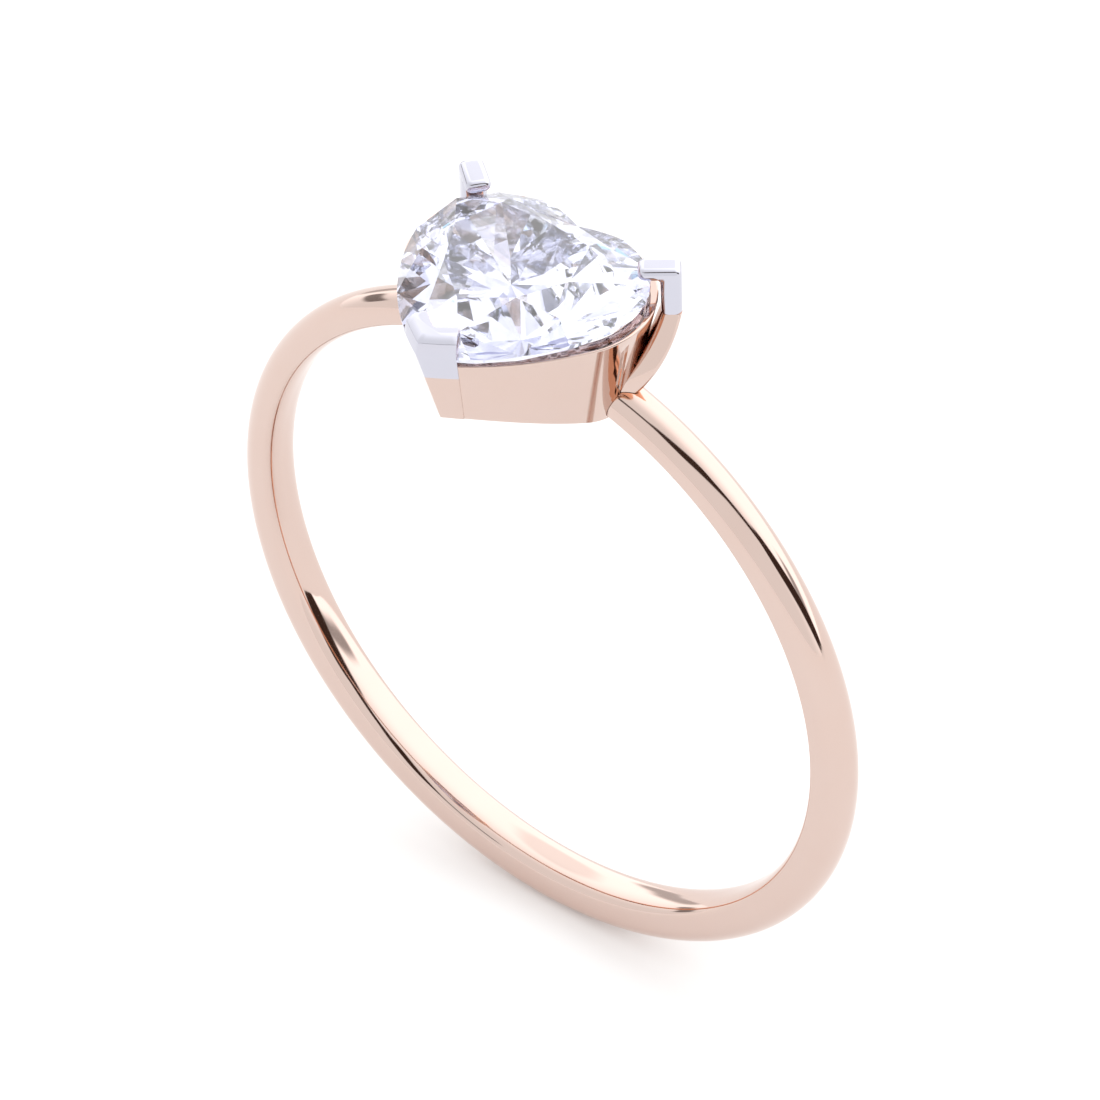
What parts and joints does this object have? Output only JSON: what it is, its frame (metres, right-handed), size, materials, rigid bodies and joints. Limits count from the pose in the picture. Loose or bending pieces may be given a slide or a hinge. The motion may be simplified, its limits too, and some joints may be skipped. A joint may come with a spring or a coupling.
{
  "type": "engagement ring",
  "caption": "Heart-cut solitaire ring: slim shank, tapered heart collet, V prong, swept lobe prongs with white-gold claws and a faceted stone.",
  "frame": {"origin": "centre of the finger hole, midway across the shank", "axes": "+Y along the finger, away from the stone's point; +Z from the finger to the head; +X across the head"},
  "size_m": [0.0186, 0.0063, 0.0214],
  "materials": {
    "rose_gold": "polished",
    "white_gold": "polished",
    "stone": "polished facets"
  },
  "bodies": {
    "root": {"shank": "rose_gold", "collet": "rose_gold", "v_prong": "rose_gold", "v_claw": "white_gold", "lobe_prong_left": "rose_gold", "lobe_prong_right": "rose_gold", "lobe_claw_left": "white_gold", "lobe_claw_right": "white_gold", "stone": "stone"}
  },
  "joints": []
}
